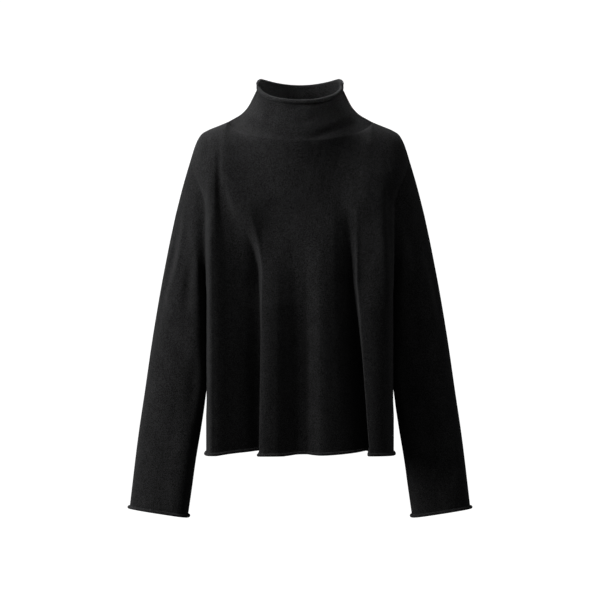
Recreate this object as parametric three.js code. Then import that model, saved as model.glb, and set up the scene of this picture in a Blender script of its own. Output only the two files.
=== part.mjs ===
// A sweater with a funnel neck and dropped shoulders, hollow, hanging as if it were worn.
// Millimetres, +Z up, the front faces -Y. The origin is the middle of the neck at the height
// where the collar meets the top of the shoulders: the sweater is held there.
// Each cut piece is one closed wall of knit with curled raw edges at collar, cuffs and hem.
import * as THREE from "three";

const WALL = 2.4; // thickness of the knit
const SEAM_GAP = 0.3; // between the edges of two pieces that are sewn together
const CURL = 3.2; // how far a curled raw edge stands out from the wall
const CURL_ROWS = [
  // the curl's section: distance from the edge, and its share of CURL
  { edge: 0, out: 0.45 },
  { edge: 3, out: 1 },
  { edge: 6.5, out: 0.55 },
  { edge: 9.5, out: 0 },
];

// Body below the underarms: an oval with squared sides, by height.
const HEM_Z = -566;
const HEM_HALF = 158.5;
const BODY = [
  { z: HEM_Z, half: HEM_HALF, depth: 102 },
  { z: -400, half: HEM_HALF, depth: 98 },
  { z: -272, half: 159, depth: 92 },
];
const SQUARE = 3; // power of the oval: 2 is an ellipse
const HEM_RISE = 0.22; // how much a fold lifts the hem, as a share of its depth

// The armhole: an oval in a slanting plane, from the end of the shoulder seam to the underarm.
const UNDERARM = { x: 159, z: -272 };
const ARMHOLE_DEPTH = 50; // half of its front-to-back width
const ARMHOLE_HOLLOW = 6; // how far the seam curves towards the chest

// Shoulder seam, from the end at the armhole to the collar, half width by height.
const SHOULDER = [
  { z: -156, x: 211 },
  { z: -109, x: 199 },
  { z: -68, x: 187 },
  { z: -41, x: 178.5 },
  { z: -27, x: 172 },
  { z: -20, x: 166.5 },
  { z: -13.5, x: 155.5 },
  { z: -7, x: 139.5 },
  { z: 0, x: 122.4 },
];

// Neckline seam: an oval, lower at the front.
const NECK = { half: 122.4, front: 78, back: 64, frontDrop: 35.5, backDrop: 9 };
const NECK_POWER = 1.2; // how the seam falls from the sides to the middle

// Collar by rings from the seam to the top: half width, front and back depth, height at the side.
const COLLAR = [
  { half: 122.4, front: 78, back: 64, z: 0 },
  { half: 99.5, front: 71.5, back: 59, z: 13.6 },
  { half: 87.5, front: 66.5, back: 56, z: 27 },
  { half: 80.5, front: 62.5, back: 53.5, z: 41 },
  { half: 75.5, front: 59.5, back: 51.5, z: 56 },
  { half: 71.5, front: 57.5, back: 50, z: 72.5 },
];

// Outside of the sleeve, below the shoulder seam, and its inside, half width by height.
const SLEEVE_OUT = [
  { z: -156, x: 211 },
  { z: -211, x: 222.7 },
  { z: -292, x: 238 },
  { z: -374, x: 251.6 },
  { z: -456, x: 263.5 },
  { z: -537, x: 275.4 },
  { z: -659, x: 290.2 },
];
const SLEEVE_IN = [
  { z: -272, x: 159 },
  { z: -300, x: 162.5 },
  { z: -476, x: 162 },
  { z: -517, x: 167.5 },
  { z: -578, x: 177.6 },
  { z: -619, x: 183.2 },
  { z: -673, x: 191 },
];
// Half of the sleeve's front-to-back width, by share of its length.
const SLEEVE_DEPTH = [
  { f: 0, depth: 50 },
  { f: 0.25, depth: 49 },
  { f: 0.6, depth: 40 },
  { f: 1, depth: 34 },
];
// Soft folds of the sleeve: where round it (degrees from the outside, front positive),
// from and to which share of its length, how deep and how wide (degrees).
const SLEEVE_FOLDS = [
  { angle: 38, from: 0.02, to: 0.42, deep: 5, wide: 20 },
  { angle: 118, from: 0.25, to: 0.7, deep: 4, wide: 26 },
  { angle: -52, from: 0.05, to: 0.5, deep: 5, wide: 24 },
  { angle: -120, from: 0.35, to: 0.85, deep: 4, wide: 28 },
];

// Lines that run down a panel, from left to right as seen from the front: x at the hem and at the
// underarm, how far the line lies behind the oval at the hem, the height where that starts, and
// the columns of the wall up to the next line.
const FRONT_LINES = [
  { hem: -158.5, arm: -159, deep: 0, from: -272, columns: 4 },
  { hem: -149, arm: -150, deep: 0, from: -250, columns: 2 },
  { hem: -130, arm: -131, deep: 5, from: -200, columns: 2 },
  { hem: -104, arm: -108, deep: 22, from: -172, columns: 2 },
  { hem: -78, arm: -82, deep: 34, from: -172, columns: 2 },
  { hem: -66, arm: -69, deep: 4, from: -172, columns: 2 },
  { hem: -45, arm: -46, deep: -3, from: -220, columns: 3 },
  { hem: -11, arm: -10, deep: 12, from: -310, columns: 3 },
  { hem: 30, arm: 26, deep: -3, from: -220, columns: 2 },
  { hem: 60, arm: 52, deep: 6, from: -184, columns: 3 },
  { hem: 103, arm: 82, deep: 38, from: -170, columns: 2 },
  { hem: 116, arm: 95, deep: 5, from: -170, columns: 2 },
  { hem: 134, arm: 122, deep: -2, from: -250, columns: 2 },
  { hem: 149, arm: 150, deep: 0, from: -250, columns: 4 },
  { hem: 158.5, arm: 159, deep: 0, from: -272, columns: 0 },
];
const BACK_LINES = [
  { hem: -158.5, arm: -159, deep: 0, from: -272, columns: 4 },
  { hem: -149, arm: -150, deep: 0, from: -250, columns: 4 },
  { hem: -112, arm: -112, deep: 4, from: -230, columns: 2 },
  { hem: -86, arm: -80, deep: 27, from: -190, columns: 3 },
  { hem: -58, arm: -55, deep: 2, from: -190, columns: 3 },
  { hem: -22, arm: -25, deep: 5, from: -260, columns: 2 },
  { hem: 6, arm: -2, deep: 20, from: -240, columns: 3 },
  { hem: 38, arm: 28, deep: -2, from: -240, columns: 3 },
  { hem: 66, arm: 62, deep: 8, from: -220, columns: 2 },
  { hem: 92, arm: 88, deep: 25, from: -200, columns: 2 },
  { hem: 122, arm: 120, deep: 2, from: -200, columns: 3 },
  { hem: 149, arm: 150, deep: 0, from: -250, columns: 4 },
  { hem: 158.5, arm: 159, deep: 0, from: -272, columns: 0 },
];
// The fold in which the arm part of a panel meets the chest, upright on either side.
const ARM_FOLD = { x: 168, deep: 9, wide: 19, roll: 5, rollX: 145, top: -60, full: -170 };
const SHOULDER_COLUMNS = 8; // columns of a panel that end on one shoulder seam
const ARMHOLE_ROWS = 9; // rows of a panel that end on the armhole
const BODY_ROWS = 9; // rows below the underarm, above the curl
const SLEEVE_ROWS = 13;
const COLLAR_STAND = 1.3; // above 1 the panel sinks a little below the neckline seam
const TURNS = 24; // steps in which the wall's inward way is turned square to the faces round it
const SHARPEST = 0.4; // the wall's thickness grows in a fold by up to 1 over this
const CORNER = 0.7; // two seam edges that differ by more, as a cosine, make a corner of the piece
const ARM_FADE = 7; // columns over which the armhole's roundness fades into the chest

const lerp = (a, b, t) => a + (b - a) * t;
const clamp = (t) => Math.min(1, Math.max(0, t));
const smooth = (t) => clamp(t) ** 2 * (3 - 2 * clamp(t));
const bump = (t) => (Math.abs(t) < 1 ? Math.cos((t * Math.PI) / 2) ** 2 : 0);

// Value of column `to` where column `by` is `at`, on a curve that keeps between its neighbours.
function along(rows, by, to, at) {
  const up = rows[0][by] < rows[rows.length - 1][by];
  const r = up ? rows : [...rows].reverse();
  const last = r.length - 1;
  let i = 0;
  while (i < last - 1 && at > r[i + 1][by]) i++;
  const slope = (k) => (r[k + 1][to] - r[k][to]) / (r[k + 1][by] - r[k][by]);
  const bend = (k) => {
    if (k === 0) return slope(0);
    if (k === last) return slope(last - 1);
    const [a, b] = [slope(k - 1), slope(k)];
    return a * b > 0 ? (2 * a * b) / (a + b) : 0;
  };
  const step = r[i + 1][by] - r[i][by];
  const t = clamp((at - r[i][by]) / step);
  const h = [1 - 3 * t * t + 2 * t ** 3, t * (1 - t) ** 2, t * t * (3 - 2 * t), t * t * (t - 1)];
  return h[0] * r[i][to] + h[1] * step * bend(i) + h[2] * r[i + 1][to] + h[3] * step * bend(i + 1);
}

// A point of the shoulder seam at a share of its length, from the armhole to the collar.
function shoulderPoint(share) {
  const legs = SHOULDER.slice(1).map((p, i) => Math.hypot(p.x - SHOULDER[i].x, p.z - SHOULDER[i].z));
  let left = share * legs.reduce((a, b) => a + b, 0);
  let i = 0;
  while (i < legs.length - 1 && left > legs[i]) left -= legs[i++];
  const z = lerp(SHOULDER[i].z, SHOULDER[i + 1].z, clamp(left / legs[i]));
  return { x: along(SHOULDER, "z", "x", z), z };
}

// How far the armhole seam curves towards the chest, at an angle round it from the shoulder.
function hollow(angle) {
  return ARMHOLE_HOLLOW * Math.abs(Math.sin(angle)) * (1 + Math.cos(angle));
}

// The neckline seam at an angle: 0 on the left, half a turn on the right. Front or back.
function neckPoint(angle, facing) {
  const s = Math.sin(angle);
  const [deep, drop] = facing < 0 ? [NECK.front, NECK.frontDrop] : [NECK.back, NECK.backDrop];
  return new THREE.Vector3(
    -NECK.half * Math.cos(angle),
    facing * deep * s,
    -drop * Math.max(0, s) ** NECK_POWER,
  );
}

// How far a panel lies behind its oval at x and z.
function foldDepth(lines, x, z) {
  const rows = lines.map((l) => {
    const down = (z - l.from) / (HEM_Z - l.from);
    const t = clamp((UNDERARM.z - z) / (UNDERARM.z - HEM_Z));
    return { x: lerp(l.arm, l.hem, t), deep: l.deep * smooth(down * 1.15) ** 0.8 };
  });
  return along(rows, "x", "deep", Math.min(rows[rows.length - 1].x, Math.max(rows[0].x, x)));
}

// The fold between arm and chest at x and z, towards the inside.
function armFold(x, z) {
  const f = ARM_FOLD;
  const h = smooth((f.top - z) / (f.top - f.full)) * smooth((z - UNDERARM.z) / 12);
  const side = Math.abs(x);
  return h * (f.deep * bump((side - f.x) / f.wide) - f.roll * bump((side - f.rollX) / f.wide));
}

// Columns of a panel: the x of each at the underarm and at the hem.
function columnsOf(lines) {
  const turn = (x, half) => Math.acos(Math.sign(x) * Math.min(1, Math.abs(x / half)) ** (SQUARE / 2));
  const back = (a, half) => Math.sign(Math.cos(a)) * half * Math.abs(Math.cos(a)) ** (2 / SQUARE);
  const columns = [];
  lines.slice(0, -1).forEach((l, i) => {
    const next = lines[i + 1];
    for (let k = 0; k < l.columns; k++) {
      const at = (key, half) =>
        back(lerp(turn(l[key], half), turn(next[key], half), k / l.columns), half);
      columns.push({ arm: at("arm", UNDERARM.x), hem: at("hem", HEM_HALF) });
    }
  });
  const end = lines[lines.length - 1];
  columns.push({ arm: end.arm, hem: end.hem });
  return columns;
}

// Depth of the plain oval at x, for a half width and a half depth.
function oval(x, half, depth) {
  return depth * Math.max(0, 1 - Math.min(1, Math.abs(x / half)) ** SQUARE) ** (1 / SQUARE);
}

// A panel as rows of points from the hem up. `facing` is -1 for the front, 1 for the back.
function panel(lines, facing) {
  const columns = columnsOf(lines);
  const last = columns.length - 1;
  const under = columns.map((c) => {
    const deep = oval(c.arm, UNDERARM.x, along(BODY, "z", "depth", UNDERARM.z));
    return new THREE.Vector3(c.arm, facing * deep, UNDERARM.z);
  });
  const top = columns.map((c, k) => {
    const fromSide = Math.min(k, last - k);
    if (fromSide <= SHOULDER_COLUMNS) {
      const p = shoulderPoint(fromSide / SHOULDER_COLUMNS);
      return new THREE.Vector3(k < last / 2 ? -p.x : p.x, 0, p.z);
    }
    const share = (k - SHOULDER_COLUMNS) / (last - 2 * SHOULDER_COLUMNS);
    return neckPoint(share * Math.PI, facing);
  });
  const sunk = (p, share = 1) => {
    const edge = Math.abs(p.y) < 1 ? 0 : 1;
    const deep = foldDepth(lines, p.x, p.z) + share * armFold(p.x, p.z);
    return new THREE.Vector3(p.x, p.y - facing * edge * deep, p.z);
  };
  const rows = [];
  const curlShares = CURL_ROWS.map((c) => c.edge / (UNDERARM.z - HEM_Z));
  const start = curlShares[curlShares.length - 1];
  const shares = [...curlShares.slice(0, -1)];
  for (let r = 0; r < BODY_ROWS; r++) shares.push(lerp(start, 1, r / BODY_ROWS));
  for (const share of shares) {
    rows.push(
      columns.map((c) => {
        const deepHem = foldDepth(lines, c.hem, HEM_Z);
        const z = lerp(HEM_Z + HEM_RISE * Math.max(0, deepHem), UNDERARM.z, share);
        const x = lerp(c.hem, c.arm, share);
        const half = lerp(HEM_HALF, UNDERARM.x, share);
        return sunk(new THREE.Vector3(x, facing * oval(x, half, along(BODY, "z", "depth", z)), z));
      }),
    );
  }
  for (let j = 0; j <= ARMHOLE_ROWS; j++) {
    const angle = Math.PI * (1 - j / ARMHOLE_ROWS); // round the armhole, from the underarm up
    const up = (1 + Math.cos(angle)) / 2;
    const over = Math.sqrt(1 - up * up); // the wall turns over the shoulder in a quarter of an oval
    rows.push(
      columns.map((c, k) => {
        const [a, b] = [under[k], top[k]];
        const side = k < last / 2 ? 1 : -1;
        const fromSide = Math.min(k, last - k);
        const fade = (1 - Math.min(1, fromSide / ARM_FADE)) ** 2;
        const round = Math.sin(angle) * fade;
        const spread = up ** lerp(1, 2, Math.min(1, fromSide / SHOULDER_COLUMNS));
        return sunk(
          new THREE.Vector3(
            lerp(a.x, b.x, spread) + side * fade * hollow(angle),
            a.y * over + b.y * (1 - over) ** COLLAR_STAND + facing * ARMHOLE_DEPTH * round,
            lerp(a.z, b.z, up),
          ),
          1 - fade,
        );
      }),
    );
  }
  return { rows, columns: columns.length };
}

// A ring of the sleeve at a share of its length. Its points start at the outside and run by the
// front to the inside and back, at the same angles as the rows of the panels.
function sleeveRing(side, share) {
  const [o, i] = [SLEEVE_OUT, SLEEVE_IN].map((t) => {
    const z = lerp(t[0].z, t[t.length - 1].z, share);
    return { x: along(t, "z", "x", z), z };
  });
  const depth = along(SLEEVE_DEPTH, "f", "depth", share);
  const points = [];
  for (let k = 0; k < 2 * ARMHOLE_ROWS; k++) {
    const angle = (Math.PI * k) / ARMHOLE_ROWS;
    const degrees = angle > Math.PI ? (angle * 180) / Math.PI - 360 : (angle * 180) / Math.PI;
    const deep = SLEEVE_FOLDS.reduce((sum, f) => {
      const length = bump(((share - (f.from + f.to) / 2) * 2) / (f.to - f.from));
      return sum + f.deep * length * bump((degrees - f.angle) / f.wide);
    }, 0);
    const shrink = 1 - deep / depth;
    const [c, s] = [Math.cos(angle) * shrink, Math.sin(angle) * shrink];
    points.push(
      new THREE.Vector3(
        side * ((o.x + i.x) / 2 + ((o.x - i.x) / 2) * c - hollow(angle) * (1 - smooth(share / 0.25))),
        -depth * s,
        (o.z + i.z) / 2 + ((o.z - i.z) / 2) * c,
      ),
    );
  }
  return points;
}

function sleeve(side) {
  const length = SLEEVE_OUT[0].z - SLEEVE_OUT[SLEEVE_OUT.length - 1].z;
  const end = 1 - CURL_ROWS[CURL_ROWS.length - 1].edge / length;
  const shares = CURL_ROWS.slice(0, -1).map((c) => 1 - c.edge / length);
  for (let r = 0; r <= SLEEVE_ROWS; r++) shares.push(lerp(end, 0, r / SLEEVE_ROWS));
  return { rows: shares.map((s) => sleeveRing(side, s)) };
}

// The collar's rings from the top down to the neckline seam, at the angles of the panels' columns.
function collar(frontColumns, backColumns) {
  const [nf, nb] = [frontColumns, backColumns].map((n) => n - 1 - 2 * SHOULDER_COLUMNS);
  const angles = [];
  for (let k = 0; k < nf; k++) angles.push({ a: (Math.PI * k) / nf, facing: -1 });
  for (let k = nb; k > 0; k--) angles.push({ a: (Math.PI * k) / nb, facing: 1 });
  const rings = COLLAR.map((c, i) => ({ ...c, i }));
  const height = COLLAR[COLLAR.length - 1].z - COLLAR[COLLAR.length - 2].z;
  const lastRing = COLLAR.length - 1;
  const levels = CURL_ROWS.map((c) => lastRing - c.edge / height);
  for (let i = lastRing - 1; i >= 0; i--) levels.push(i);
  return {
    rows: levels.map((level) =>
      angles.map(({ a, facing }) => {
        const c = (key) => along(rings, "i", key, level);
        const s = Math.max(0, Math.sin(a));
        const drop = facing < 0 ? NECK.frontDrop : NECK.backDrop;
        return new THREE.Vector3(
          -c("half") * Math.cos(a),
          facing * c(facing < 0 ? "front" : "back") * s,
          c("z") - drop * s ** NECK_POWER,
        );
      }),
    ),
  };
}

// A sheet's faces as pairs of triangles. Rows run from the raw edge to the seam.
function faces(sheet) {
  const { rows, ring } = sheet;
  const width = rows[0].length;
  const list = [];
  for (let r = 0; r + 1 < rows.length; r++) {
    for (let k = 0; k < (ring ? width : width - 1); k++) {
      const n = (k + 1) % width;
      list.push([r * width + k, r * width + n, (r + 1) * width + n, (r + 1) * width + k]);
    }
  }
  return sheet.flip ? list.map((q) => [...q].reverse()) : list;
}

const spot = (p) => [p.x, p.y, p.z].map((v) => Math.round(v * 20)).join();

// The way in for the wall at every point: against the faces of all pieces round it, as square to
// each as can be, and longer in a sharp fold, so the wall keeps its thickness.
function inward(sheets) {
  const around = new Map();
  for (const sheet of sheets) {
    const points = sheet.rows.flat();
    for (const [a, b, c, d] of faces(sheet)) {
      const normal = new THREE.Vector3()
        .subVectors(points[c], points[a])
        .cross(new THREE.Vector3().subVectors(points[d], points[b]))
        .normalize();
      for (const i of [a, b, c, d]) {
        const key = spot(points[i]);
        if (!around.has(key)) around.set(key, []);
        around.get(key).push(normal);
      }
    }
  }
  const ways = new Map();
  for (const [key, normals] of around) {
    const way = normals.reduce((sum, n) => sum.add(n), new THREE.Vector3()).normalize();
    const furthest = () => normals.reduce((a, b) => (way.dot(a) < way.dot(b) ? a : b));
    for (let turn = 0; turn < TURNS; turn++) {
      way.addScaledVector(furthest(), 1 / (turn + 3)).normalize();
    }
    ways.set(key, way.multiplyScalar(-WALL / Math.max(SHARPEST, way.dot(furthest()))));
  }
  return ways;
}

// A closed wall: the outer points, moved out at curled edges, and the inner points.
function wall(name, sheet, ways, material) {
  const width = sheet.rows[0].length;
  const height = sheet.rows.length;
  const at = (r, k) => sheet.rows[r][sheet.ring ? (k + width) % width : k];
  const clampTo = (v, last) => Math.min(last, Math.max(0, v));
  // The way from a seam edge into the piece, square to the wall's end face, half of the gap long.
  const shift = (r, k) => {
    const p = at(r, k);
    const to = new THREE.Vector3();
    const step = (q, a, b) => {
      const [one, two] = [[a, p], [p, b]].map(([from, onto]) => {
        const seam = new THREE.Vector3().subVectors(onto, from);
        const square = seam.cross(ways.get(spot(p))).normalize();
        return square.dot(new THREE.Vector3().subVectors(q, p)) < 0 ? square.negate() : square;
      });
      const corner = one.lengthSq() && two.lengthSq() && one.dot(two) < CORNER;
      to.addScaledVector(one.lengthSq() ? one : two, SEAM_GAP / 2);
      if (corner) to.addScaledVector(two, SEAM_GAP / 2);
    };
    const [before, after] = sheet.ring ? [k - 1, k + 1] : [k - 1, k + 1].map((i) => clampTo(i, width - 1));
    const [under, over] = [r - 1, r + 1].map((i) => clampTo(i, height - 1));
    if (r === height - 1) step(at(r - 1, k), at(r, before), at(r, after));
    if (!sheet.ring && k === 0) step(at(r, 1), at(under, k), at(over, k));
    if (!sheet.ring && k === width - 1) step(at(r, width - 2), at(under, k), at(over, k));
    return to;
  };
  const [outer, inner] = [[], []];
  sheet.rows.forEach((row, r) =>
    row.forEach((p, k) => {
      const way = ways.get(spot(p));
      const moved = shift(r, k).add(p);
      const out = r < CURL_ROWS.length ? (CURL * CURL_ROWS[r].out) / WALL : 0;
      outer.push(moved.clone().addScaledVector(way, -out));
      inner.push(moved.clone().add(way));
    }),
  );
  const points = [...outer, ...inner];
  const count = outer.length;
  const index = [];
  const quad = (a, b, c, d) => index.push(a, b, c, a, c, d);
  for (const [a, b, c, d] of faces(sheet)) {
    quad(a, b, c, d);
    quad(d + count, c + count, b + count, a + count);
  }
  // Both pieces at a seam split its end faces along the same diagonal.
  const flat = sheet.rows.flat();
  const rim = (a, b) => {
    if (sheet.flip) [a, b] = [b, a];
    if (spot(flat[a]) < spot(flat[b])) quad(b, a, a + count, b + count);
    else quad(a, a + count, b + count, b);
  };
  for (let k = 0; k < (sheet.ring ? width : width - 1); k++) {
    const n = (k + 1) % width;
    rim(k, n);
    rim((height - 1) * width + n, (height - 1) * width + k);
  }
  if (!sheet.ring) {
    for (let r = 0; r + 1 < height; r++) {
      rim((r + 1) * width, r * width);
      rim(r * width + width - 1, (r + 1) * width + width - 1);
    }
  }
  const geometry = new THREE.BufferGeometry();
  geometry.setAttribute(
    "position",
    new THREE.Float32BufferAttribute(points.flatMap((p) => [p.x, p.y, p.z]), 3),
  );
  geometry.setIndex(index);
  geometry.computeVertexNormals();
  const mesh = new THREE.Mesh(geometry, material);
  mesh.name = name;
  return mesh;
}

const front = panel(FRONT_LINES, -1);
const back = panel(BACK_LINES, 1);
const sheets = {
  front,
  back: { ...back, flip: true },
  collar: { ...collar(front.columns, back.columns), ring: true, flip: true },
  sleeve_left: { ...sleeve(1), ring: true, flip: true },
  sleeve_right: { ...sleeve(-1), ring: true },
};

const knit = new THREE.MeshStandardMaterial({ color: 0x17181b, roughness: 0.95, metalness: 0 });
const ways = inward(Object.values(sheets));
const sweater = new THREE.Group();
sweater.name = "sweater";
for (const [name, sheet] of Object.entries(sheets)) {
  sweater.add(wall(name, sheet, ways, knit));
}

export default sweater;
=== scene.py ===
import math
from collections import namedtuple

import bpy
import numpy as np
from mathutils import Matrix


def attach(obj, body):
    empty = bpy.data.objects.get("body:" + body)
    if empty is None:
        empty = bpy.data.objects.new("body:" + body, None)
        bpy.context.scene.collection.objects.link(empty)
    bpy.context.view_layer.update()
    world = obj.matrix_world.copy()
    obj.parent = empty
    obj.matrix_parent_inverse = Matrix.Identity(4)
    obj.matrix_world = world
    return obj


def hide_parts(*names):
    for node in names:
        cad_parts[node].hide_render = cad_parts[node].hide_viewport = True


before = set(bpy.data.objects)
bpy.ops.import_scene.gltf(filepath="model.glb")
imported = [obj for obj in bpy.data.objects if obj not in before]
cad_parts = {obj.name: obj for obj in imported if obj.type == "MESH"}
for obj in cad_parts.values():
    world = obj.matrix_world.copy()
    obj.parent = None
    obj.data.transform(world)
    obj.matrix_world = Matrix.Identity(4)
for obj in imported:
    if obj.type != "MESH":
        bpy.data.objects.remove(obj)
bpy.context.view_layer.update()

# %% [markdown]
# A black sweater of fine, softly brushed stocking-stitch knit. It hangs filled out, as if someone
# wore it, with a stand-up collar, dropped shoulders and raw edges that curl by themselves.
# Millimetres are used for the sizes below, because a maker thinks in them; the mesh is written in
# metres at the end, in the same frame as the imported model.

MM = 0.001


def lerp(a, b, t):
    return a + (b - a) * t


def smooth(t):
    t = np.clip(t, 0, 1)
    return t * t * (3 - 2 * t)


def bump(t):
    """1 at 0, falling softly to 0 at 1 and beyond."""
    return np.where(np.abs(t) < 1, np.cos(np.clip(t, -1, 1) * math.pi / 2) ** 2, 0.0)


def through(xs, ys, x):
    """The value at x of a smooth curve that keeps between its knots. xs rises along its last axis."""
    x = np.asarray(x, float)
    xs = np.broadcast_to(np.asarray(xs, float), x.shape + np.shape(xs)[-1:])
    ys = np.broadcast_to(np.asarray(ys, float), xs.shape)
    rise = np.diff(ys, axis=-1) / np.diff(xs, axis=-1)
    a, b = rise[..., :-1], rise[..., 1:]
    middle = np.where(a * b > 0, 2 * a * b / np.where(a + b == 0, 1, a + b), 0)
    slope = np.concatenate([rise[..., :1], middle, rise[..., -1:]], axis=-1)
    i = np.clip((x[..., None] >= xs).sum(-1) - 1, 0, xs.shape[-1] - 2)

    def pick(values, step):
        return np.take_along_axis(values, (i + step)[..., None], -1)[..., 0]

    x0, x1, y0, y1 = pick(xs, 0), pick(xs, 1), pick(ys, 0), pick(ys, 1)
    h = x1 - x0
    t = np.clip((x - x0) / h, 0, 1)
    ends = y0 * (1 - 3 * t**2 + 2 * t**3) + y1 * t**2 * (3 - 2 * t)
    return ends + h * (pick(slope, 0) * t * (1 - t) ** 2 + pick(slope, 1) * t**2 * (t - 1))


# %% [markdown]
# The camera stands far away with a long lens, level with the middle of the sweater, as for a
# catalogue picture. At 200 mm the sleeves and the front of the body are drawn at almost the same
# scale, so the outline can be compared with the photo by its pixels: 1.7 mm to one.

# %% Camera
PIXEL = 1.7  # mm of the sweater to a pixel of the photo
PHOTO_SIDE = 600  # pixels
SHOULDER_ROW = 122  # row of the photo where the collar meets the shoulders, at z = 0
LENS, SENSOR = 200, 36
across = PHOTO_SIDE * PIXEL * MM
camera_data = bpy.data.cameras.new("long_lens")
camera_data.lens = LENS
camera_data.sensor_width = SENSOR
camera = bpy.data.objects.new("camera", camera_data)
camera.location = (0, -across / SENSOR * LENS, (SHOULDER_ROW - PHOTO_SIDE / 2) * PIXEL * MM)
camera.rotation_euler = (math.pi / 2, 0, 0)
camera_data.clip_end = 50
bpy.context.scene.collection.objects.link(camera)
bpy.context.scene.camera = camera
print("camera at", [round(v, 3) for v in camera.location])

# %% [markdown]
# The cut. Every size is that of the finished, hanging sweater: the oval of the body by height,
# the shoulder line, the slanting armholes, the neckline, the collar and the two edges of a sleeve
# as seen from the front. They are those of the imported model, but for the ends of the neckline, the
# collar's top and the slant of the folds, which are drawn finer here.

# %% Sizes of the body, the armholes and the shoulders
KNIT = 1.6  # thickness of the cloth
CURLS = {"hem": 1.0, "cuff": 1.1, "rim": 2.1}  # inside radius of each curled raw edge
PINCH = 5  # how far the arms press the body's sides in, below the underarm
PINCH_END, PINCH_FROM, PINCH_HALF = -500, 120, 75  # lowest z, least x and greatest y of that
PINCH_FADES = {"top": 25, "low": 35, "across": 35}
HEM_Z = -564
HEM_HALF = 158.5
FRONT_SQUARE, BACK_SQUARE = 6, 3  # power of the body's oval: 2 is an ellipse, more is squarer
HEM_RISE = 0.2  # how much a fold lifts the hem, as a share of its depth
FOLD_LEAN = 0.2  # how far a trough's bottom is pushed over towards +X, as a share of its depth
UNDERARM_X, UNDERARM_Z = 159, -272
ARMHOLE_DEPTH, ARMHOLE_HOLLOW, ARM_LEAN = 50, 6, 0.4

Height = namedtuple("Height", "z depth")
BODY = [Height(HEM_Z, 102), Height(-400, 98), Height(UNDERARM_Z, 92)]

Edge = namedtuple("Edge", "z x")
SHOULDER = [
    Edge(-156, 211), Edge(-109, 199), Edge(-68, 187), Edge(-41, 178.5), Edge(-27, 172),
    Edge(-20, 166.5), Edge(-13.5, 155.5), Edge(-7, 139.5), Edge(0, 122.4),
]
SLEEVE_OUT = [
    Edge(-156, 211), Edge(-211, 222.7), Edge(-292, 238), Edge(-374, 251.6), Edge(-456, 263.5),
    Edge(-537, 275.4), Edge(-657, 289.8),
]
SLEEVE_IN = [
    Edge(-272, 159), Edge(-292, 158), Edge(-320, 157), Edge(-430, 157), Edge(-476, 161.5),
    Edge(-517, 167.5), Edge(-578, 177.6), Edge(-619, 183.2), Edge(-671, 190.7),
]

# %% [markdown]
# The collar is written as five rings and a top, from the neckline up. Each says how far it reaches
# to a side, to the front and to the back, and how high its sides are. Front and back of every ring
# hang lower than its sides: at the neckline by the drop of a scooped neck, at the top by the rim's.

# %% Sizes of the neckline and the collar
Ring = namedtuple("Ring", "half front back z")
COLLAR = [
    Ring(122.4, 78, 64, 0), Ring(99.5, 71.5, 59, 13.6), Ring(87.5, 66.5, 56, 27),
    Ring(80.5, 62.5, 53.5, 41), Ring(74.5, 59.5, 51.5, 57), Ring(69, 57.5, 50, 71.5),
]
FRONT_DROP, BACK_DROP, NECK_POWER, NECK_LENS = 35.5, 8, 1.2, 1.6
RIM_DROP = {"front": (41, 0.55), "back": (10, 2.2)}  # and the power, at the collar's top
SHOULDER_COLUMNS, ARM_FADE, COLLAR_STAND = 8, 7, 1.3


def shoulder_point(share):
    """x and z on the shoulder seam at a share of its length, from the armhole to the collar."""
    z, x = np.array([[e.z, e.x] for e in SHOULDER]).T
    length = np.concatenate([[0], np.cumsum(np.hypot(np.diff(x), np.diff(z)))])
    at_z = np.interp(share * length[-1], length, z)
    return through(z, x, at_z), at_z


def neck_point(angle, facing):
    """The neckline seam, from the left (0) to the right (half a turn), by the front or the back."""
    s = np.maximum(0, np.sin(angle))
    deep, drop = (COLLAR[0].front, FRONT_DROP) if facing < 0 else (COLLAR[0].back, BACK_DROP)
    across = -COLLAR[0].half * np.cos(angle)
    return np.stack([across, facing * deep * s**NECK_LENS, -drop * s**NECK_POWER], -1)


def arm_round(angle):
    """The arm's round, 0 to 1, with its crest nearer to the body than to the outside."""
    return np.sin(angle - ARM_LEAN * np.sin(angle))


def hollow(angle):
    """How far the armhole seam curves towards the chest."""
    return ARMHOLE_HOLLOW * np.abs(np.sin(angle)) * (1 + np.cos(angle))


print("shoulder seam ends at", [round(float(v), 1) for v in shoulder_point(np.array(0.0))])
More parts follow.
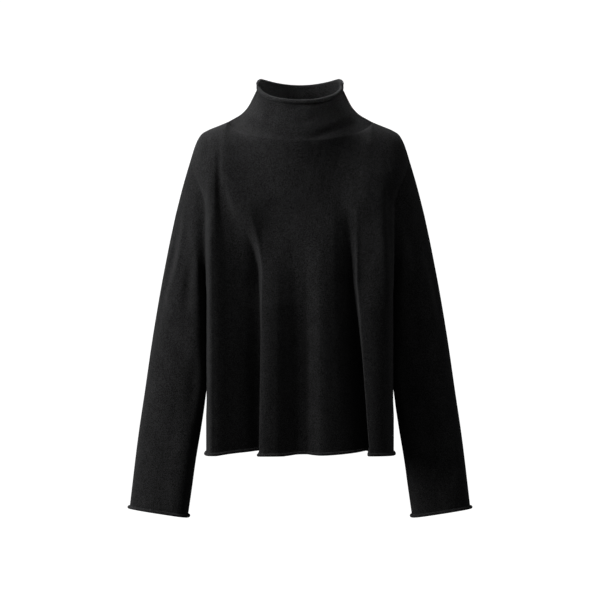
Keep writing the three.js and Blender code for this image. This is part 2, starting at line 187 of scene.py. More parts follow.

# %% [markdown]
# The body hangs in deep upright folds. On the real sweater they come from cloth that is much wider
# than the chest it hangs from, so they start at nothing on the chest and are deepest at the hem.
# They could be simulated, but then they would fall anywhere. Here each fold is placed one by one: a
# few lines run down the panel, and each says how far it lies behind the body's plain oval. Two
# lines that lie close together make the steep side of a fold, two far apart its slow side.

# %% Folds of the body
Line = namedtuple("Line", "hem arm deep start columns top", defaults=[None])
SLANT_TOP, SLANT_LOW = -100, -260  # a line with a top of its own drifts there between these heights
FOLD_HASTE = 1.4  # above 1, a fold has its full depth before it gets to the hem
FOLD_EARLY = 0.65  # below 1, more of its depth comes near its start
SIDE_FADE = 12  # folds fade out within this depth of the side seams
FRONT_LINES = [
    Line(-158.5, -159, 0, -272, 4),
    Line(-150, -151, -7, -60, 3),
    Line(-142, -143, -1, -40, 3, -144),
    Line(-120, -122, 17, -20, 2, -137),
    Line(-96, -99, 30, -75, 3, -129),
    Line(-71.5, -75, 42, -125, 2, -120),
    Line(-69.5, -68.5, 19, -130, 1, -101),
    Line(-67.5, -62, -6, -155, 2, -87),
    Line(-58, -50, -8, -160, 2, -75),
    Line(-41, -38, -6, -170, 2, -64),
    Line(-22, -23, 4, -170, 2),
    Line(-6, -7, 14, -170, 2),
    Line(8, 7, 15, -170, 2),
    Line(21, 20, 9, -170, 2),
    Line(35, 32, 5, -170, 2),
    Line(60, 54, 11, -150, 2),
    Line(86, 69, 24, -120, 2),
    Line(112, 82, 44, -130, 2, 76),
    Line(114, 89, 24, -130, 1, 86),
    Line(116.5, 96.5, -1, -140, 2, 98),
    Line(135, 122, -3, -200, 2),
    Line(150, 150, -2, -220, 4),
    Line(158.5, 159, 0, -272, 0),
]
BACK_LINES = [
    Line(-158.5, -159, 0, -272, 4),
    Line(-149, -150, 0, -250, 4),
    Line(-112, -112, 4, -230, 2),
    Line(-86, -80, 30, -190, 3),
    Line(-58, -55, 1, -190, 3),
    Line(-22, -25, 5, -260, 2),
    Line(6, -2, 22, -240, 3),
    Line(38, 28, -2, -240, 3),
    Line(66, 62, 8, -220, 2),
    Line(92, 88, 28, -200, 2),
    Line(122, 120, 1, -200, 3),
    Line(149, 150, 0, -250, 4),
    Line(158.5, 159, 0, -272, 0),
]


def fold_depth(lines, x, z):
    """How far a panel lies behind its oval at x and z."""
    down = np.clip((UNDERARM_Z - z) / (UNDERARM_Z - HEM_Z), 0, 1)
    slant = smooth((z - SLANT_LOW) / (SLANT_TOP - SLANT_LOW))
    xs = np.stack([lerp(lerp(l.arm, l.top or l.arm, slant), l.hem, down) for l in lines], -1)
    grown = [smooth((z - l.start) / (HEM_Z - l.start) * FOLD_HASTE) ** FOLD_EARLY for l in lines]
    deep = np.stack([l.deep * g for l, g in zip(lines, grown)], -1)
    return through(xs, deep, np.clip(x, xs[..., 0], xs[..., -1]))


print("lines on the front and back:", len(FRONT_LINES), len(BACK_LINES))

# %% [markdown]
# Smaller creases lie across the big folds: where the sleeve part of the front tucks behind the
# body, down the upper arm, under the collar and above the cuffs. Each is a short path in the front
# view with a depth and a width. A negative depth is a ridge. The hidden back gets its own set.

# %% Creases
Crease = namedtuple("Crease", "path deep left right", defaults=[None])
CREASE_POINTS, CREASE_ENDS = 13, 0.8  # points on a path, and the power of the fade at its ends
CREASE_FADE = 30  # creases fade out within this depth of the sides, where front and back meet
FRONT_CREASES = [
    # left side: the tuck between arm and body, and the narrow roll beside it
    Crease([(-162, -118), (-161, -170), (-160, -230), (-160, -300)], 8, 14, 4),
    Crease([(-154, -92), (-154, -170), (-155, -240), (-155, -330)], -4, 5, 14),
    # right side: the same tuck
    Crease([(151, -90), (152, -170), (158, -250), (162, -305)], 7, 7, 20),
    Crease([(141, -80), (142, -160), (149, -250), (153, -320)], -3, 14, 6),
    Crease([(168, -102), (177, -170), (190, -225), (197, -290)], 3, 8, 10),
    # down the left upper arm
    Crease([(-204, -160), (-212, -215), (-224, -262)], 4, 5, 6),
    Crease([(-194, -128), (-201, -185), (-207, -232), (-217, -290)], -4, 5, 7),
    Crease([(-182, -215), (-188, -270), (-194, -330)], 4, 8),
    # the fold under the collar, deepest on the right
    Crease(
        [(-70, -19), (-39, -23), (-8, -30), (19, -31), (36, -25), (58, -16), (78, -4), (94, 3)], 3.2, 8
    ),
    Crease([(16, -32), (40, -25), (66, -12), (88, 0)], 0.5, 6),
    # the leaf-shaped bump on the collar, the crease below it, and the hollow under the rim
    Crease([(0, 30), (14, 22), (22, 8)], -1.6, 8, 6),
    Crease([(-4, 1), (10, -2), (24, 2)], 1.6, 4),
    Crease([(-24, 30), (4, 28), (34, 33), (62, 46)], 2.2, 6),
    Crease([(-60, 52), (-58, 20), (-74, -6)], -1.5, 8),
    # a soft hollow in the right shoulder, and slack across the chest
    Crease([(118, -38), (124, -66), (128, -92)], 1.2, 20),
    Crease([(110, -88), (111, -118), (109, -145)], -0.7, 6),
    Crease([(-120, -60), (-60, -110), (-30, -200)], 1.4, 26),
    Crease([(84, -60), (66, -120), (60, -180)], 1.6, 24),
    # the tops of the folds lie back in the chest before they stand out
    Crease([(-58, -135), (-60, -210), (-62, -310)], 9, 22, 58),
    Crease([(98, -150), (102, -220), (106, -320)], 7, 14, 32),
    # sleeves: soft drags above the elbow and the cuff
    Crease([(-226, -340), (-210, -372), (-186, -398)], 2.2, 15),
    Crease([(-262, -500), (-236, -536), (-206, -556)], 2.2, 14),
    Crease([(-250, -430), (-236, -470), (-215, -505)], -1.8, 16),
    Crease([(-266, -575), (-247, -612), (-222, -636)], 1.8, 12),
    Crease([(236, -330), (216, -372), (190, -410)], 3, 16),
    Crease([(262, -470), (240, -520), (204, -552)], 2.6, 15),
    Crease([(272, -560), (252, -600), (222, -630)], 2, 13),
]
BACK_CREASES = [
    Crease([(-163, -96), (-165, -160), (-166, -225), (-164, -300)], 6, 20, 7),
    Crease([(-150, -90), (-152, -180), (-154, -290)], -5, 8),
    Crease([(163, -90), (164, -150), (166, -220), (164, -300)], 6, 7, 20),
    Crease([(150, -90), (152, -170), (154, -300)], -5, 8),
    Crease([(-196, -150), (-206, -230), (-218, -310)], 4, 8),
    Crease([(199, -160), (208, -240), (222, -320)], 5, 9),
    Crease([(-60, -16), (0, -24), (60, -16)], 2.5, 8),
    Crease([(-90, -50), (-60, -110), (-66, -200)], 2, 22),
    Crease([(80, -60), (40, -130), (20, -210)], 2, 24),
    Crease([(-244, -420), (-220, -460), (-190, -480)], 3, 16),
    Crease([(-266, -540), (-244, -580), (-212, -604)], 2.4, 14),
    Crease([(240, -400), (222, -440), (188, -470)], 3, 16),
    Crease([(268, -560), (246, -596), (216, -622)], 2.4, 14),
]


def crease_depth(creases, x, z):
    """How far the creases push the cloth in at x and z."""
    total = np.zeros_like(x)
    for crease in creases:
        knots = np.array(crease.path, float)
        s = np.linspace(0, len(knots) - 1, CREASE_POINTS)
        k = np.arange(len(knots), dtype=float)
        path = np.stack([through(k, knots[:, 0], s), through(k, knots[:, 1], s)], -1)
        near, along, side = np.full(x.shape, 1e9), np.zeros_like(x), np.zeros_like(x)
        for i, (a, b) in enumerate(zip(path[:-1], path[1:])):
            leg = b - a
            t = np.clip(((x - a[0]) * leg[0] + (z - a[1]) * leg[1]) / (leg @ leg), 0, 1)
            off_x, off_z = x - a[0] - t * leg[0], z - a[1] - t * leg[1]
            far = np.hypot(off_x, off_z)
            along = np.where(far < near, (i + t) / (len(path) - 1), along)
            side = np.where(far < near, off_x, side)
            near = np.minimum(far, near)
        wide = np.where(side < 0, crease.left, crease.right or crease.left)
        total += crease.deep * np.exp(-((near / wide) ** 2)) * np.sin(math.pi * along) ** CREASE_ENDS
    return total


print("creases:", len(FRONT_CREASES), "front,", len(BACK_CREASES), "back")

# %% [markdown]
# Each cut piece is a grid of points, rows from its raw edge to its seam and columns across. The
# grid follows the knitting: a column of the grid runs as the columns of stitches do. Where the
# body's oval turns round to the side its columns stand closer together, so the turn stays smooth.

# %% Columns of a panel
DENSITY = 6  # columns of the grid to each one in the tables of lines
SOFT_COLUMNS = 10  # how wide the corner between shoulder seam and neckline is rounded


def oval(x, half, depth, power):
    return depth * np.maximum(0, 1 - np.minimum(1, np.abs(x / half)) ** power) ** (1 / power)


def columns_of(lines, power):
    """x of each column at the underarm and at the hem, closer together where the oval turns."""

    def turn(x, half):
        return np.arccos(np.sign(x) * min(1, abs(x / half)) ** (power / 2))

    def spread(key, half):
        xs = []
        for a, b in zip(lines[:-1], lines[1:]):
            steps = np.arange(a.columns * DENSITY) / (a.columns * DENSITY)
            t = lerp(turn(getattr(a, key), half), turn(getattr(b, key), half), steps)
            xs.append(np.sign(np.cos(t)) * half * np.abs(np.cos(t)) ** (2 / power))
        return np.concatenate([*xs, [getattr(lines[-1], key)]])

    return spread("arm", UNDERARM_X), spread("hem", HEM_HALF)


def softened(values):
    """The values with their sharp turns spread over the columns beside them."""
    wide = 3 * SOFT_COLUMNS
    weights = np.exp(-((np.arange(-wide, wide + 1) / SOFT_COLUMNS) ** 2))
    ends = 2 * values[[0, -1]]
    before, after = ends[0] - values[wide:0:-1], ends[1] - values[-2:-2 - wide:-1]
    return np.convolve(np.concatenate([before, values, after]), weights / weights.sum(), "valid")


for table, power in ((FRONT_LINES, FRONT_SQUARE), (BACK_LINES, BACK_SQUARE)):
    print("columns:", len(columns_of(table, power)[0]))

# %% [markdown]
# The upper edge of a panel is a shoulder seam, the neckline and the other shoulder seam. The first
# and last columns end on the shoulder seams and share them out evenly, and the columns between them
# end on the neckline, where the collar takes over.

# %% The upper edge of a panel
def from_side(columns):
    """How far each column is from the nearer side, in columns of the tables."""
    k = np.arange(columns)
    return np.minimum(k, columns - 1 - k) / DENSITY


def neck_angle(columns):
    """Half a turn along the neckline, 0 on the left shoulder seam and pi on the right one."""
    shoulder = SHOULDER_COLUMNS * DENSITY
    return np.clip((np.arange(columns) - shoulder) / (columns - 1 - 2 * shoulder), 0, 1) * math.pi


def side_of(columns):
    return np.where(np.arange(columns) < (columns - 1) / 2, 1, -1)


def upper_edge(columns, facing):
    """x, y and z by column: a shoulder seam, the neckline and the other shoulder seam."""
    near = from_side(columns)
    seam_x, seam_z = shoulder_point(np.clip(near / SHOULDER_COLUMNS, 0, 1))
    neck_x, neck_y, neck_z = neck_point(neck_angle(columns), facing).T
    on_seam = near <= SHOULDER_COLUMNS
    x = np.where(on_seam, -side_of(columns) * seam_x, neck_x)
    return x, np.where(on_seam, 0, neck_y), np.where(on_seam, seam_z, neck_z)


print("lowest point of the front neckline:", neck_point(math.pi / 2, -1).round(1))

# %% [markdown]
# A front or back panel is the body's oval below the underarm. Above it, every column rises to its
# point on the shoulder seam or the neckline in a quarter of an oval, and the columns near the side
# bulge round the arm. Under the neck the quarter stops before it would lie level, so the chest runs
# up into the collar as on the real one, where the seam can hardly be seen. A surface through
# hand-set control points could make this too, but its seams would be harder to keep in place.

# %% Panels
ROWS_BELOW, ROWS_ABOVE = 82, 70
SOFT_BELOW = 0.72  # share of the height from which the softened upper edge turns into the true one
WIDENS_FROM, WIDENS_TO, SHOULDER_WIDENS = -150, -60, 26  # heights where the body's side spreads, and how far
ARM_FROM = 118  # x from which the round of the arm is felt through the body
ARM_BLEND = 4  # power that joins the body's square to the arm's round: more is sharper
NECK_SLOPE = 0.3  # how steeply the chest runs up to the neckline: at 0 it would end in a level shelf


def below_underarm(lines, facing, power, arm_x, hem_x):
    """Rows from the hem up to the underarm."""
    share = np.linspace(0, 1, ROWS_BELOW, endpoint=False)[:, None]
    lift = HEM_RISE * np.maximum(0, fold_depth(lines, hem_x, np.full_like(hem_x, HEM_Z)))
    z = lerp(HEM_Z + CURLS["hem"] + KNIT + lift, UNDERARM_Z, share)
    x = lerp(hem_x, arm_x, share)
    depth = through(*np.array(BODY).T, z)
    return np.stack([x, facing * oval(x, lerp(HEM_HALF, UNDERARM_X, share), depth, power), z], -1)


def above_underarm(facing, power, arm_x):
    """Rows from the underarm up to the shoulder seams and the neckline."""
    columns = len(arm_x)
    near = from_side(columns)
    angle = math.pi * (1 - np.arange(ROWS_ABOVE + 1) / ROWS_ABOVE)[:, None]
    up = (1 + np.cos(angle)) / 2
    at_edge = smooth((up - SOFT_BELOW) / (1 - SOFT_BELOW)) ** 2
    top_x, top_y, top_z = (lerp(softened(v), v, at_edge) for v in upper_edge(columns, facing))
    slope = NECK_SLOPE * np.sin(neck_angle(columns)) ** 2
    over = (np.sqrt(1 - up * up + slope**2) - slope) / (np.sqrt(1 + slope**2) - slope)
    fade = (1 - np.minimum(1, near / ARM_FADE)) ** 2
    rise = up ** lerp(1, 2, np.minimum(1, near / SHOULDER_COLUMNS))
    x = lerp(arm_x, top_x, rise) + side_of(columns) * fade * hollow(angle)
    z = lerp(UNDERARM_Z, top_z, up)
    # the body's squared side runs straight up in front of the arm's round, and widens to the shoulder
    half = UNDERARM_X + SHOULDER_WIDENS * smooth((z - WIDENS_FROM) / (WIDENS_TO - WIDENS_FROM))
    body_y = oval(x, half, BODY[-1].depth, power) * over
    arm_y = ARMHOLE_DEPTH * arm_round(angle) * smooth((np.abs(x) - ARM_FROM) / (UNDERARM_X - ARM_FROM))
    y = (body_y**ARM_BLEND + arm_y**ARM_BLEND) ** (1 / ARM_BLEND)
    return np.stack([x, facing * y + top_y * (1 - over) ** COLLAR_STAND, z], -1)


def panel(lines, facing):
    """Points of a panel, rows from the hem up. facing is -1 for the front and 1 for the back."""
    power = FRONT_SQUARE if facing < 0 else BACK_SQUARE
    arm_x, hem_x = columns_of(lines, power)
    below = below_underarm(lines, facing, power, arm_x, hem_x)
    points = np.concatenate([below, above_underarm(facing, power, arm_x)])
    x, y, z = np.moveaxis(points.copy(), -1, 0)
    deep = fold_depth(lines, x, z)
    pinched = smooth((UNDERARM_Z - z) / PINCH_FADES["top"]) * smooth((z - PINCH_END) / PINCH_FADES["low"])
    pinched *= bump(y / PINCH_HALF) * smooth((np.abs(x) - PINCH_FROM) / PINCH_FADES["across"])
    points[..., 0] += FOLD_LEAN * deep - np.sign(x) * PINCH * pinched
    points[..., 1] -= facing * np.clip(np.abs(y) / SIDE_FADE, 0, 1) * deep
    return points


front_points, back_points = panel(FRONT_LINES, -1), panel(BACK_LINES, 1)
print("panel grids:", front_points.shape, back_points.shape)

# %% [markdown]
# A sleeve is a tube from the armhole to the cuff. Its rings start in the slanting plane of the
# armhole and turn until the last one is square to the arm. Two soft troughs on either face keep it
# from looking like a pipe.

# %% Sleeves
SLEEVE_DEPTH = [(0, 50), (0.25, 49), (0.6, 40), (1, 34)]
Trough = namedtuple("Trough", "angle start end deep wide")
TROUGHS = [
    Trough(38, 0.02, 0.42, 3, 22),
    Trough(118, 0.25, 0.7, 4, 30),
    Trough(-52, 0.05, 0.5, 5, 26),
    Trough(-120, 0.35, 0.85, 4, 30),
]
SLEEVE_ROWS = 170
SLEEVE_FLAT = 0.72  # below 1 the tube's faces are flatter than an ellipse's
SLEEVE_SETTLED = 0.25  # share of the length over which the armhole's form turns into the tube's


def sleeve(side):
    """Points of a sleeve, rings from the cuff up, each from the outside round by the front."""
    length = SLEEVE_OUT[0].z - SLEEVE_OUT[-1].z
    share = np.linspace(1 - (CURLS["cuff"] + KNIT) / length, 0, SLEEVE_ROWS)[:, None]
    angle = (math.pi * np.arange(2 * ROWS_ABOVE) / ROWS_ABOVE)[None]
    edges = []
    for table in (SLEEVE_OUT, SLEEVE_IN):
        z, x = np.array(table[::-1]).T
        at_z = lerp(table[0].z, table[-1].z, share)
        edges.append((through(z, x, at_z), at_z))
    (out_x, out_z), (in_x, in_z) = edges
    f, d = np.array(SLEEVE_DEPTH).T
    depth = through(f, d, share)
    degrees = np.degrees((angle + math.pi) % (2 * math.pi) - math.pi)
    deep = 0
    for t in TROUGHS:
        length_fade = bump((share - (t.start + t.end) / 2) * 2 / (t.end - t.start))
        deep = deep + t.deep * length_fade * bump((degrees - t.angle) / t.wide)
    settled = smooth(share / SLEEVE_SETTLED)
    flat = lerp(1, SLEEVE_FLAT, settled)
    rounds = np.cos(angle), arm_round(angle)
    c, s = (np.sign(v) * np.abs(v) ** flat * (1 - deep / depth) for v in rounds)
    x = (out_x + in_x) / 2 + (out_x - in_x) / 2 * c - hollow(angle) * (1 - settled)
    z = (out_z + in_z) / 2 + (out_z - in_z) / 2 * c
    return np.stack([side * x, -depth * s, z], -1)


left_points, right_points = sleeve(1), sleeve(-1)
print("sleeve grids:", left_points.shape, right_points.shape)


# %% [markdown]
# The collar is one band that stands up by itself: rings from its top down to the neckline. It is
# wide at the shoulders, sweeps in and leans back a little, so its front edge is lower than the
# back one.

# %% Collar
COLLAR_ROWS = 60
RIM_DIP, RIM_ROUND = 7, 0.22  # how much lower the rim is right at its sides, and radians round
RIM_LEVEL = 2.5  # the ring from which that dip grows towards the rim
LENS_LEVELS = 2  # rings over which the neckline's pointed oval turns into a full one
SIDE_SOFT = 0.03  # radians round from the collar's sides in which the turn of the rim is rounded


def collar(columns):
    """Points of the collar, rings from the top down, each from the left round by the front."""
    neck_columns = columns - 1 - 2 * SHOULDER_COLUMNS * DENSITY
    half_turn = math.pi * np.arange(neck_columns) / neck_columns
    angle = np.concatenate([half_turn, half_turn + math.pi])[None]
    level = np.linspace(len(COLLAR) - 1, 0, COLLAR_ROWS)[:, None]
    half, front, back, z = (through(np.arange(len(COLLAR)), v, level) for v in np.array(COLLAR).T)
    top = len(COLLAR) - 1
    s = np.abs(np.sin(angle))
    is_front = angle <= math.pi
    y = np.where(is_front, -front, back) * s ** lerp(NECK_LENS, 1, smooth(level / LENS_LEVELS))
    soft_s = np.hypot(s, SIDE_SOFT) - SIDE_SOFT
    at_rim = [drop * soft_s**power for drop, power in (RIM_DROP["front"], RIM_DROP["back"])]
    at_neck = np.where(is_front, FRONT_DROP, BACK_DROP) * s**NECK_POWER
    drop = lerp(at_neck, np.where(is_front, *at_rim), smooth(level / top))
    dip = RIM_DIP * np.exp(-((s / RIM_ROUND) ** 2)) * smooth((level - RIM_LEVEL) / (top - RIM_LEVEL))
    return np.stack([-half * np.cos(angle), y, z - drop - dip], -1)


collar_points = collar(front_points.shape[1])
print("collar grid:", collar_points.shape)

# %% [markdown]
# Every grid is finished in the same way. Its seam edges dip a little, as the sewn edges of a knit
# do. The creases push it straight in, away from whoever looks at that face. Its raw edge is rolled
# outwards into a small tube: stocking stitch without a hem curls towards its smooth side.

# %% Finishing a grid
SEAM_DIP, SEAM_WIDTH = 0.08, 3
CURL_TURN, CURL_ROWS = math.radians(300), 12


def normals_of(points, ring, flip):
    wrapped = np.concatenate([points[:, -1:], points, points[:, :1]], 1) if ring else points
    across_grid = np.gradient(wrapped, axis=1)
    across_grid = across_grid[:, 1:-1] if ring else across_grid
    n = np.cross(across_grid, np.gradient(points, axis=0))
    n /= np.maximum(np.linalg.norm(n, axis=-1, keepdims=True), 1e-9)
    return -n if flip else n


def to_seam(points, ring):
    """Distance of each point from the piece's seams: its last row, and its sides if it has any."""
    steps = np.linalg.norm(np.diff(points[::-1], axis=0), axis=-1)
    distance = np.concatenate([np.zeros_like(steps[:1]), np.cumsum(steps, 0)])[::-1]
    if not ring:
        across_steps = np.linalg.norm(np.diff(points, axis=1), axis=-1)
        from_left = np.concatenate([np.zeros((len(points), 1)), np.cumsum(across_steps, 1)], 1)
        distance = np.minimum(distance, np.minimum(from_left, from_left[:, -1:] - from_left))
    return distance


def curled(points, normals, radius):
    """The rows of a raw edge's curl, from its free end to the first row of the grid."""
    down = points[0] - points[1]
    down -= normals[0] * (down * normals[0]).sum(-1, keepdims=True)
    down /= np.linalg.norm(down, axis=-1, keepdims=True)
    rows = []
    for turn in np.linspace(CURL_TURN, 0, CURL_ROWS, endpoint=False):
        out = normals[0] * radius * (1 - math.cos(turn))
        rows.append(points[0] + down * radius * math.sin(turn) + out)
    return np.array(rows)


def finished(points, ring, flip, curl):
    normals = normals_of(points, ring, flip)
    inward = SEAM_DIP * np.exp(-((to_seam(points, ring) / SEAM_WIDTH) ** 2))
    points = points - normals * inward[..., None]
    x, y, z = np.moveaxis(points, -1, 0)
    deep = np.where(y < 0, crease_depth(FRONT_CREASES, x, z), crease_depth(BACK_CREASES, x, z))
    points[..., 1] -= np.sign(y) * deep * smooth(np.abs(y) / CREASE_FADE)
    normals = normals_of(points, ring, flip)
    if not ring:
        for side in (0, -1):
            normals[: ROWS_BELOW, side] = (np.sign(points[0, side, 0]), 0, 0)
    return np.concatenate([curled(points, normals, curl), points])


print("cloth in each curl, mm:", {name: round(r * CURL_TURN, 1) for name, r in CURLS.items()})


# %% [markdown]
# The mesh: one quad between each four points, and a texture map in millimetres, across the piece
# and along it, so that stitches drawn with it have about their real size and follow the knitting.
# The cloth gets its thickness from a Solidify modifier, inwards from the outside face.

# %% Meshes
def map_in_mm(points, ring, corners):
    """Across and along the cloth, mm, for the corners of each quad, given as rows and columns."""
    middle = points[len(points) // 2]
    closed = np.concatenate([middle, middle[:1]]) if ring else middle
    u = np.concatenate([[0], np.cumsum(np.linalg.norm(np.diff(closed, axis=0), axis=-1))])
    steps = np.linalg.norm(np.diff(points, axis=0), axis=-1)
    v = np.concatenate([np.zeros((1, points.shape[1])), np.cumsum(steps, 0)])
    v = np.concatenate([v, v[:, :1]], 1) if ring else v
    return np.stack([np.stack([u[c], v[r, c]], -1) for r, c in corners], -2).reshape(-1, 4, 2)


def mark_open_edges(mesh):
    """Marks them sharp, so that the cloth's thin side doesn't tilt the shading beside it."""
    edge_of = np.empty(len(mesh.loops), int)
    mesh.loops.foreach_get("edge_index", edge_of)
    mesh.edges.foreach_set("use_edge_sharp", np.bincount(edge_of, minlength=len(mesh.edges)) == 1)


def cloth_object(name, points, ring, flip, material):
    rows, columns = points.shape[:2]
    r, c = np.meshgrid(np.arange(rows - 1), np.arange(columns if ring else columns - 1), indexing="ij")
    corners = [(r, c), (r, c + 1), (r + 1, c + 1), (r + 1, c)]
    turn = slice(None, None, -1 if flip else 1)
    quads = np.stack([i * columns + j % columns for i, j in corners], -1).reshape(-1, 4)[:, turn]
    mesh = bpy.data.meshes.new(name)
    mesh.from_pydata((points.reshape(-1, 3) * MM).tolist(), [], quads.tolist())
    layer = mesh.uv_layers.new(name="knit_mm")
    layer.data.foreach_set("uv", map_in_mm(points, ring, corners)[:, turn].astype(np.float32).ravel())
    mesh.polygons.foreach_set("use_smooth", np.ones(len(quads), bool))
    mark_open_edges(mesh)
    mesh.materials.append(material)
    obj = bpy.data.objects.new(name, mesh)
    bpy.context.scene.collection.objects.link(obj)
    thick = obj.modifiers.new("thickness", "SOLIDIFY")
    thick.thickness = KNIT * MM
    thick.offset = -1
    thick.use_even_offset = False
    return obj


print("cloth thickness, mm:", KNIT)

# %% [markdown]
# A material is a small network of nodes. Writing one out node by node gets long, so three helpers
# come first: one adds a node, one does sums with numbers or with what other nodes give, and one
# gives a noise that is fixed to the object.

# %% Tools for the material
def add_node(tree, kind, **settings):
    made = tree.nodes.new(kind)
    for key, value in settings.items():
        setattr(made, key, value)
    return made


def work_out(tree, operation, *values):
    made = add_node(tree, "ShaderNodeMath", operation=operation)
    for socket, value in zip(made.inputs, values):
        if isinstance(value, (int, float)):
            socket.default_value = value
        else:
            tree.links.new(value, socket)
    return made.outputs[0]


def noise(tree, scale, detail, stretch):
    place = add_node(tree, "ShaderNodeTexCoord")
    mapping = add_node(tree, "ShaderNodeMapping")
    mapping.inputs["Scale"].default_value = stretch
    tree.links.new(place.outputs["Object"], mapping.inputs["Vector"])
    made = add_node(tree, "ShaderNodeTexNoise")
    for socket, value in (("Scale", scale), ("Detail", detail), ("Roughness", 0.6)):
        made.inputs[socket].default_value = value
    tree.links.new(mapping.outputs[0], made.inputs["Vector"])
    return made.outputs["Fac"]


# %% [markdown]
# The knit's look. Up close it is rows of small V stitches, half hidden under a short brushed nap.
# From further away only a fine grain and a soft grey bloom at the edges are left. Modelled
# stitches would be far too many, so they are drawn as height in the bump. Noise stands for the nap
# in both colour and height, and a little sheen gives the bloom.

# %% Stitches, nap and colour
WALE, COURSE = 1.7, 1.3  # width and height of a stitch, mm
DARK, LIGHT = (0.0045, 0.0045, 0.0047, 1), (0.0255, 0.0255, 0.0262, 1)  # between and on the fibres
# painted highlight: the colour of the curled raw edges is made lighter, for the light that their rolls catch
PAINTED_EDGE_HIGHLIGHT, EDGE_FROM, EDGE_TO = 1.4, 6, 11  # how much lighter a raw edge is, and the mm where that ends


def stitch_height(tree, across, along):
    """Two slanting legs in each column of stitches, that meet in the middle as a V."""
    u = work_out(tree, "DIVIDE", across, WALE)
    v = work_out(tree, "DIVIDE", along, COURSE)
    off_centre = work_out(tree, "ABSOLUTE", work_out(tree, "SUBTRACT", work_out(tree, "FRACT", u), 0.5))
    leg = work_out(tree, "SINE", work_out(tree, "MULTIPLY", off_centre, 2 * math.pi))
    slanted = work_out(tree, "ADD", work_out(tree, "MULTIPLY", off_centre, 1.5), v)
    strand = work_out(tree, "SINE", work_out(tree, "MULTIPLY", slanted, 2 * math.pi))
    return work_out(tree, "MULTIPLY", leg, work_out(tree, "MULTIPLY_ADD", strand, 0.4, 0.6))


def cloth_colour(tree, nap, along):
    """Dark between the fibres and lighter on them, and lighter still near the curled edges: a painted
    highlight for the light that their rolls catch.
    """
    patch = noise(tree, 60, 2, (1, 1, 0.5))
    ramp = add_node(tree, "ShaderNodeValToRGB")
    for element, position, colour in zip(ramp.color_ramp.elements, (0.42, 0.58), (DARK, LIGHT)):
        element.position = position
        element.color = colour
    fine, broad = work_out(tree, "MULTIPLY", nap, 0.88), work_out(tree, "MULTIPLY", patch, 0.12)
    mixed = work_out(tree, "ADD", fine, broad)
    tree.links.new(mixed, ramp.inputs[0])
    # the painted highlight on the raw edges, fading out between EDGE_FROM and EDGE_TO mm from the free edge
    lift = add_node(tree, "ShaderNodeMapRange")
    limits = {"From Min": EDGE_FROM, "From Max": EDGE_TO, "To Min": PAINTED_EDGE_HIGHLIGHT, "To Max": 1}
    for socket, value in limits.items():
        lift.inputs[socket].default_value = value
    tree.links.new(along, lift.inputs["Value"])
    with_edge_highlight = add_node(tree, "ShaderNodeVectorMath", operation="SCALE")
    tree.links.new(ramp.outputs[0], with_edge_highlight.inputs[0])
    tree.links.new(lift.outputs[0], with_edge_highlight.inputs["Scale"])
    return with_edge_highlight.outputs[0]


print("stitches to 100 mm, across and along:", round(100 / WALE), round(100 / COURSE))

# %% [markdown]
# One material serves all five pieces, because they are knitted from the same yarn. It is almost as
# rough as a surface can be and has hardly any gloss: brushed knit is matt from every side. The
# sheen is kept low, because more of it looks like velvet.

# %% Material
def knit_material():
    material = bpy.data.materials.new("brushed_black_knit")
    material.use_nodes = True
    tree = material.node_tree
    tree.nodes.clear()
    uv = add_node(tree, "ShaderNodeUVMap", uv_map="knit_mm")
    split = add_node(tree, "ShaderNodeSeparateXYZ")
    tree.links.new(uv.outputs[0], split.inputs[0])
    across, along = split.outputs[0], split.outputs[1]

    nap = noise(tree, 1000, 1, (1, 1, 0.8))
    stitches = work_out(tree, "MULTIPLY", stitch_height(tree, across, along), 0.35)
    height = work_out(tree, "ADD", stitches, work_out(tree, "MULTIPLY", nap, 1.1))
    bumped = add_node(tree, "ShaderNodeBump")
    bumped.inputs["Strength"].default_value = 0.55
    bumped.inputs["Distance"].default_value = 0.0012
    tree.links.new(height, bumped.inputs["Height"])

    cloth = add_node(tree, "ShaderNodeBsdfPrincipled")
    cloth.inputs["Roughness"].default_value = 0.95
    cloth.inputs["Specular IOR Level"].default_value = 0.08
    cloth.inputs["Sheen Weight"].default_value = 0.05
    cloth.inputs["Sheen Roughness"].default_value = 0.5
    cloth.inputs["Sheen Tint"].default_value = (0.97, 0.98, 1, 1)
    tree.links.new(cloth_colour(tree, nap, along), cloth.inputs["Base Color"])
    tree.links.new(bumped.outputs[0], cloth.inputs["Normal"])
    out = add_node(tree, "ShaderNodeOutputMaterial")
    tree.links.new(cloth.outputs[0], out.inputs["Surface"])
    return material


knit = knit_material()
print("material:", knit.name)

# %% [markdown]
# The five pieces. Each says which solid of the imported model it stands for, whether it is a tube,
# which way its faces turn and how tightly its raw edge curls.

# %% Pieces
Cut = namedtuple("Cut", "flat area")
Grid = namedtuple("Grid", "points ring flip curl")  # ring: a tube; flip: faces turned to look out
GRIDS = {
    "front": Grid(front_points, False, False, CURLS["hem"]),
    "back": Grid(back_points, False, True, CURLS["hem"]),
    "collar": Grid(collar_points, True, True, CURLS["rim"]),
    "sleeve_left": Grid(left_points, True, True, CURLS["cuff"]),
    "sleeve_right": Grid(right_points, True, False, CURLS["cuff"]),
}
for name, grid in GRIDS.items():
    piece = cloth_object(name + "_knit", finished(*grid), grid.ring, grid.flip, knit)
    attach(piece, "root")
    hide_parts(name)
    print(name, "faces:", len(piece.data.polygons))

# %% [markdown]
# A catalogue picture on white. A plain white plane would show its edge and the sweater's shadow,
# so the sweater hangs in a closed round studio of white paper. The paper glows by itself and throws
# no light on the cloth, because light from all round would flatten the folds.

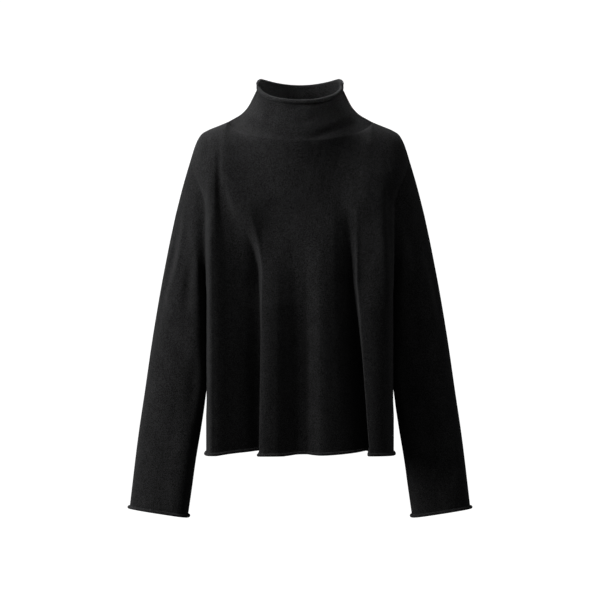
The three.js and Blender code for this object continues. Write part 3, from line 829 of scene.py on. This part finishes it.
# %% Backdrop
def backdrop():
    """A round white studio: a floor that curves up into a wall and closes far overhead."""
    floor_z, bend, radius, top = -1.05, 1.5, 9.0, 9.0
    turns, bend_steps = 48, 9
    line = [(0.0, floor_z)]
    line += [
        (radius - bend + bend * math.sin(t), floor_z + bend - bend * math.cos(t))
        for t in np.linspace(0, math.pi / 2, bend_steps)
    ]
    line += [(radius, top - bend), (0.0, top)]
    points = [
        (r * math.cos(a), r * math.sin(a), z)
        for r, z in line
        for a in np.arange(turns) * 2 * math.pi / turns
    ]
    quads = [
        (i * turns + k, i * turns + (k + 1) % turns, (i + 1) * turns + (k + 1) % turns, (i + 1) * turns + k)
        for i in range(len(line) - 1)
        for k in range(turns)
    ]
    mesh = bpy.data.meshes.new("white_studio")
    mesh.from_pydata(points, [], quads)
    mesh.polygons.foreach_set("use_smooth", [True] * len(quads))
    white = bpy.data.materials.new("white_paper")
    white.use_nodes = True
    paper = white.node_tree.nodes["Principled BSDF"]
    paper.inputs["Base Color"].default_value = (0.3, 0.3, 0.3, 1)
    paper.inputs["Roughness"].default_value = 0.9
    paper.inputs["Emission Color"].default_value = (1, 1, 1, 1)
    paper.inputs["Emission Strength"].default_value = 1.0
    mesh.materials.append(white)
    obj = bpy.data.objects.new("white_studio", mesh)
    obj.visible_diffuse = obj.visible_glossy = obj.visible_shadow = False
    bpy.context.scene.collection.objects.link(obj)
    return obj


print("faces of the backdrop:", len(backdrop().data.polygons))

# %% [markdown]
# One large soft light stands far out on the left, a little in front and above, so it grazes the
# cloth and draws the folds. A weak one above the front and one above and behind lift the top of the
# sweater, a narrow one shines into the collar, and a faint even surround keeps the far sleeve from
# being lost. Black cloth needs this much light, and it shows little of it.

# %% Lights
Light = namedtuple("Light", "name place size power aim spread", defaults=[(0, 0, -0.3), 180])
LIGHTS = [
    Light("key_left", (-4.1, -1.35, 1.2), 2.6, 290),
    Light("top_front", (1.3, -0.9, 3.3), 1.6, 20),
    Light("top_behind", (-0.6, 1.6, 3.2), 1.4, 130),
    Light("into_the_collar", (1.5, -0.95, 0.85), 0.12, 0.03, aim=(-0.01, 0, 0.065), spread=6),
]
SURROUND = 0.08  # strength of the even white light from all round


def soft_light(light):
    data = bpy.data.lights.new(light.name, "AREA")
    data.energy = light.power
    data.size = light.size
    data.spread = math.radians(light.spread)
    obj = bpy.data.objects.new(light.name, data)
    obj.location = light.place
    aim = np.array(light.aim) - np.array(light.place)
    obj.rotation_euler = (
        math.atan2(math.hypot(aim[0], aim[1]), -aim[2]),
        0,
        math.atan2(aim[1], aim[0]) - math.pi / 2,
    )
    bpy.context.scene.collection.objects.link(obj)


for light in LIGHTS:
    soft_light(light)
world = bpy.data.worlds.new("surround")
world.use_nodes = True
world.node_tree.nodes["Background"].inputs["Color"].default_value = (1, 1, 1, 1)
world.node_tree.nodes["Background"].inputs["Strength"].default_value = SURROUND
bpy.context.scene.world = world
bpy.context.scene.view_settings.view_transform = "Standard"
bpy.context.scene.view_settings.look = "None"
print("lights:", [light.name for light in LIGHTS])
